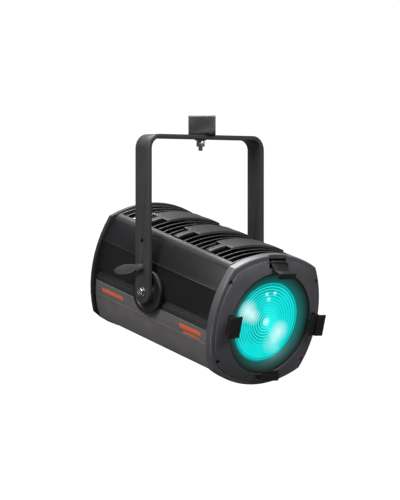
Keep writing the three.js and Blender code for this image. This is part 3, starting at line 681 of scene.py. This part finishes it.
coverShape = {
    "fold": (0.1265, 0.1185),
    "corner": (0.117, 0.131),
    "rise": 0.021,
    "rear": -0.2035,
    "front": 0.2187,
    "ribs": (-0.110, 0.008, 0.126),
    "ribHalf": 0.008,
    "plateauHalf": 0.028,
    "plateauAcross": 0.068,
    "ribHeight": 0.004,
    "slotHalf": 0.112,
    "slotWidth": 0.0173,
    "slotPitch": 0.0205,
    "firstSlot": 0.018,
    "step": 0.0012,
    "across": [0.0, 0.012, 0.024, 0.036, 0.048, 0.058, 0.078, 0.09, 0.101],
    "edgeAcross": 0.115,
    "sheet": 0.0014,
    "shadeSheetDrop": 0.022,
    "shadeSheetHalf": 0.2,
}


def coverSlots():
    c = coverShape
    rearRib, midRib, frontRib = c["ribs"]
    rows = [(rearRib - c["firstSlot"] - i * c["slotPitch"], i == 0) for i in range(4)]
    for rib in (rearRib, midRib):
        rows += [(rib + c["firstSlot"] + i * c["slotPitch"], i in (0, 4)) for i in range(5)]
    rows += [(frontRib + c["firstSlot"] + i * c["slotPitch"], i == 0) for i in range(4)]
    return rows


def topCover():
    c = coverShape
    cx, cy = c["corner"]
    radius = cx * cx / (2 * c["rise"]) + c["rise"] / 2
    centreY = cy + c["rise"] - radius
    s = c["step"]
    acrossHalf = c["across"] + [c["plateauAcross"], c["plateauAcross"] + s, c["slotHalf"], c["slotHalf"] + s]
    acrossHalf.sort()
    across = [-x for x in reversed(acrossHalf[1:])] + acrossHalf
    rows = coverSlots()
    half = c["slotWidth"] / 2
    along = {c["rear"], c["front"]}
    for at, _ in rows:
        along |= {at - half, at + half}
    for rib in c["ribs"]:
        for reach in (c["ribHalf"], c["plateauHalf"]):
            along |= {rib - reach - s, rib - reach, rib + reach, rib + reach + s}
    along = sorted(round(z, 6) for z in along if c["rear"] <= z <= c["front"])
    along = [z for i, z in enumerate(along) if i == 0 or z - along[i - 1] > 0.00045]

    def height(x, z):
        nearest = min(abs(z - rib) for rib in c["ribs"]) - 1e-6
        inPlateau = abs(x) <= c["plateauAcross"] + 1e-6 and nearest <= c["plateauHalf"]
        inRib = abs(x) <= c["slotHalf"] + 1e-6 and nearest <= c["ribHalf"]
        return c["ribHeight"] if inPlateau or inRib else 0

    def place(x, z):
        angle = math.asin(x / radius)
        r = radius + height(x, z)
        return (r * math.sin(angle), centreY + r * math.cos(angle), z)

    foldX, foldY = c["fold"]
    rounded = (foldX * 0.3 + cx * 0.7 + 0.0012, foldY * 0.3 + cy * 0.7 + 0.0008)
    edgePoint = (c["edgeAcross"], centreY + math.sqrt(radius ** 2 - c["edgeAcross"] ** 2))
    shoulder = [c["fold"], rounded, (cx, cy), edgePoint]
    columns = [("edge", -x, y) for x, y in shoulder]
    columns += [("arch", x, 0) for x in across]
    columns += [("edge", x, y) for x, y in reversed(shoulder)]
    deselectAll()
    bpy.ops.mesh.primitive_grid_add(x_subdivisions=len(columns) - 1, y_subdivisions=len(along) - 1, size=1)
    cover = bpy.context.object
    cover.name = "topCover"
    assert len(cover.data.vertices) == len(columns) * len(along)
    for i, vertex in enumerate(cover.data.vertices):
        kind, x, y = columns[i % len(columns)]
        z = along[i // len(columns)]
        vertex.co = (x, y, z) if kind == "edge" else place(x, z)

    def inSlot(centre):
        if abs(centre.x) > c["slotHalf"]:
            return False
        for at, short in rows:
            if abs(centre.z - at) < half and (not short or abs(centre.x) > c["plateauAcross"]):
                return True
        return False

    activate(cover)
    bpy.ops.object.mode_set(mode="EDIT")
    bpy.ops.mesh.select_all(action="SELECT")
    bpy.ops.mesh.normals_make_consistent(inside=False)
    bpy.ops.object.mode_set(mode="OBJECT")
    middle = min(cover.data.polygons, key=lambda f: (f.center - Vector((0, cy + c["rise"], 0.06))).length)
    if middle.normal.y < 0:
        bpy.ops.object.mode_set(mode="EDIT")
        bpy.ops.mesh.flip_normals()
        bpy.ops.object.mode_set(mode="OBJECT")
    selectFaces(cover, inSlot)
    bpy.ops.mesh.delete(type="FACE")
    bpy.ops.object.mode_set(mode="OBJECT")
    applyModifier(cover, "SOLIDIFY", thickness=c["sheet"], offset=-1.0)
    bevelEdges(cover, 0.0004, 40)
    finished(cover, "head", "coverPaint", headMatrix, ["top_cover"], 30)

    # a near-black sheet under the vents: painted shade seen through the slots
    shadeSheetTop = [(x * 0.985, place(x, -0.19)[1] - c["shadeSheetDrop"]) for x in across]
    under = [(x, y - 0.0015) for x, y in reversed(shadeSheetTop)]
    sheet = bar("ventShadeSheet", shadeSheetTop + under, -c["shadeSheetHalf"], c["shadeSheetHalf"])
    finished(sheet, "head", "paintedShadeBlack", headMatrix, angle=30)


topCover()
print("top cover")

sideShape = {
    "crease": (0.1498, 0.0665),
    "foot": (0.1528, -0.003),
    "bead": 0.0007,
    "lowerEdge": (0.1505, -0.0296),
    "lowerCrease": (0.144, -0.064),
    "bellyCorner": (0.12, -0.12),
    "bellyDrop": 0.03,
    "wall": 0.0027,
    "rear": -0.2035,
    "front": 0.2187,
}


def sides(points, side):
    return points if side > 0 else [(-x, y) for x, y in reversed(points)]


def sidePanel(side, name):
    s = sideShape
    fx, fy = coverShape["fold"]
    bx, by = s["crease"]
    gx, gy = s["foot"]
    upper = arc((bx, by), (fx + 0.0004, fy - 0.0008), 0.0018, 6)
    lower = arc((gx, gy), (bx, by), 0.0012, 6)
    bead = [
        (bx + 0.0001, by - 0.0014),
        (bx + s["bead"], by - 0.0008),
        (bx + s["bead"], by + 0.0006),
        (bx - 0.0002, by + 0.0013),
    ]
    outer = lower[:-1] + bead + upper[1:] + [(fx + 0.0004, fy - 0.0008)]
    inner = [(fx - 0.0022, fy - 0.001), (bx - 0.0027, by), (gx - 0.0025, gy)]
    panel = bar("sidePanel" + name, sides(outer + inner, side), s["rear"], s["front"])
    bevelEdges(panel, 0.0003, 25)
    finished(panel, "head", "panelPaint", headMatrix, ["side_panel_" + name], 25)


def lowerShell():
    s = sideShape
    ex, ey = s["lowerEdge"]
    cx, cy = s["lowerCrease"]
    bx, by = s["bellyCorner"]
    right = arc((bx, by), (cx, cy), 0.0028, 6)
    right += [
        (cx, cy - 0.0012),
        (cx + 0.0007, cy - 0.0006),
        (cx + 0.0008, cy + 0.0008),
        (cx + 0.0004, cy + 0.0016),
    ]
    right += arc((cx + 0.0004, cy + 0.0016), (ex - 0.0002, ey - 0.0042), 0.0008, 5)[1:]
    right += [(ex - 0.0002, ey - 0.0042), (ex + 0.001, ey - 0.0034), (ex + 0.001, ey)]
    left = [(-x, y) for x, y in reversed(right)]
    belly = arc((-bx, by), (bx, by), s["bellyDrop"], 40)[1:]
    outer = left + belly + right
    inner = []
    for x, y in reversed(outer):
        length = math.hypot(x, y + 0.02)
        under = y - s["wall"] * (y + 0.02) / length if y < ey - 0.001 else y
        inner.append((x - s["wall"] * x / length, under))
    shell = bar("lowerShell", outer + inner, s["rear"], s["front"])
    bevelEdges(shell, 0.0003, 28)
    finished(shell, "head", "shell_grey", headMatrix, ["lower_shell"], 25)


for side, name in ((-1, "left"), (1, "right")):
    sidePanel(side, name)
lowerShell()
print("panels and shell")

roundings = {
    "yoke_bar": 0.0009,
    "clamp_body": 0.0007,
    "clamp_strap": 0.0006,
    "clamp_bolt": 0.0004,
    "clamp_side_screw": 0.0004,
    "hanger_washer": 0.0003,
    "hanger_nut": 0.0005,
    "hanger_stud": 0.0005,
    "pivot_bolt_left": 0.0004,
    "pivot_bolt_right": 0.0004,
    "pivot_washer_left": 0.0003,
    "pivot_washer_right": 0.0003,
    "tilt_lock_lever": 0.0015,
    "tilt_lock_screw": 0.0003,
    "lens_baffle": 0.0005,
    "frame_holder_left": 0.0004,
    "frame_holder_right": 0.0004,
    "frame_holder_bottom": 0.0004,
    "frame_lip_left": 0.0004,
    "frame_lip_right": 0.0004,
    "frame_lip_bottom": 0.0004,
    "latch_arm": 0.0005,
    "latch_lip": 0.0006,
    "side_rail_left": 0.0004,
    "side_rail_right": 0.0004,
    "friction_disc_left": 0.0006,
    "friction_disc_right": 0.0006,
    "rear_cap": 0.0008,
    "control_panel": 0.0005,
    "zoom_knob": 0.0007,
    "power_inlet": 0.0004,
    "power_outlet": 0.0004,
    "data_inlet": 0.0003,
    "data_outlet": 0.0003,
    "menu_button_up": 0.0006,
    "menu_button_enter": 0.0006,
    "menu_button_down": 0.0006,
}
otherLooks = {
    "lens_baffle": "baffleBlack", "tilt_lock_lever": "leverPlastic", "rear_cap": "capPaint",
    "friction_disc_left": "discPaint", "friction_disc_right": "discPaint", "clamp_body": "clampPaint",
}
for name, width in roundings.items():
    look = "holderPaint" if name.startswith(("frame_", "latch_")) else otherLooks.get(name)
    dressed(name, width, look)
print("dressed solids:", len(roundings))


def orangeBar(side, start, end, middle, height):
    s = sideShape
    ex, ey = s["lowerEdge"][0] - 0.0002, s["lowerEdge"][1] - 0.0042
    cx, cy = s["lowerCrease"]
    share = (ey - middle) / (ey - cy)
    x = ex + (cx - ex) * share + 0.0004
    lean = (ex - cx) / (ey - cy)
    section = [
        (x - lean * height / 2, middle - height / 2),
        (x - lean * height / 2 + 0.0006, middle - height / 2),
        (x + lean * height / 2 + 0.0006, middle + height / 2),
        (x + lean * height / 2, middle + height / 2),
    ]
    piece = bar("orangeBar", sides(section, side), start, end)
    bevelEdges(piece, 0.0002, 30)
    finished(piece, "head", "orange", headMatrix, angle=30)


for side in (-1, 1):
    orangeBar(side, -0.178, -0.098, -0.047, 0.0085)
    orangeBar(side, 0.115, 0.192, -0.045, 0.0105)
    orangeBar(side, 0.130, 0.190, -0.0575, 0.004)
print("orange bars")

view = {
    "azimuth": math.radians(-40.63),
    "elevation": math.radians(0.587),
    "distance": 6.984,
    "lens": 213.9,
    "right": -0.00131,
    "up": 0.09572,
}


def setCamera():
    a, e = view["azimuth"], view["elevation"]
    right = Vector((math.cos(a), math.sin(a), 0))
    back = Vector((math.sin(a) * math.cos(e), -math.cos(a) * math.cos(e), math.sin(e)))
    up = back.cross(right)
    target = Vector(pivot) + right * view["right"] + up * view["up"]
    data = bpy.data.cameras.new("camera")
    data.lens = view["lens"]
    data.sensor_width = 36
    data.clip_end = 60
    camera = bpy.data.objects.new("camera", data)
    bpy.context.scene.collection.objects.link(camera)
    turn = Matrix((right, up, back)).transposed().to_4x4()
    camera.matrix_world = Matrix.Translation(target + back * view["distance"]) @ turn
    bpy.context.scene.camera = camera
    return right, up, back


right, up, back = setCamera()


def studioFloor():
    deselectAll()
    bpy.ops.mesh.primitive_plane_add(size=40, location=(0, 0, -0.95))
    floor = bpy.context.object
    floor.name = "studioFloor"
    material, _, shader = newMaterial("pale floor")
    shader.inputs["Base Color"].default_value = (0.5, 0.5, 0.5, 1)
    shader.inputs["Roughness"].default_value = 0.9
    shader.inputs["Emission Color"].default_value = (1, 1, 1, 1)
    shader.inputs["Emission Strength"].default_value = 1.0
    floor.data.materials.append(material)
    floor.visible_diffuse = False
    floor.visible_glossy = False


studioFloor()


def softLight(name, place, size, power):
    data = bpy.data.lights.new(name, "AREA")
    data.energy = power
    data.shape = "RECTANGLE"
    data.size, data.size_y = size
    light = bpy.data.objects.new(name, data)
    bpy.context.scene.collection.objects.link(light)
    light.location = place
    aim = Vector((0, 0, -0.35)) - Vector(place)
    light.rotation_euler = aim.to_track_quat("-Z", "Y").to_euler()


middle = Vector((0, 0, -0.3))
softLight("keyLight", middle + back * 2.0 - right * 1.7 + up * 1.5, (1.3, 1.3), 80)
softLight("fillLight", middle + back * 1.8 + right * 1.5 + up * 1.3, (1.4, 1.6), 48)
softLight("topLight", Vector((0, 0.3, 1.7)), (1.5, 1.5), 105)
softLight("lowLight", middle + back * 1.2 - right * 1.9 - up * 1.3, (1.4, 1.0), 26)

world = bpy.data.worlds.new("studio")
bpy.context.scene.world = world
world.use_nodes = True
tree = world.node_tree
background = next(n for n in tree.nodes if n.type == "BACKGROUND")
background.inputs["Color"].default_value = (1, 1, 1, 1)
path = tree.nodes.new("ShaderNodeLightPath")
brightness = tree.nodes.new("ShaderNodeMapRange")
brightness.inputs["To Min"].default_value = 0.17
brightness.inputs["To Max"].default_value = 1.05
tree.links.new(path.outputs["Is Camera Ray"], brightness.inputs["Value"])
tree.links.new(brightness.outputs["Result"], background.inputs["Strength"])
bpy.context.scene.view_settings.view_transform = "Standard"

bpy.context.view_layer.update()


print("all pieces made")
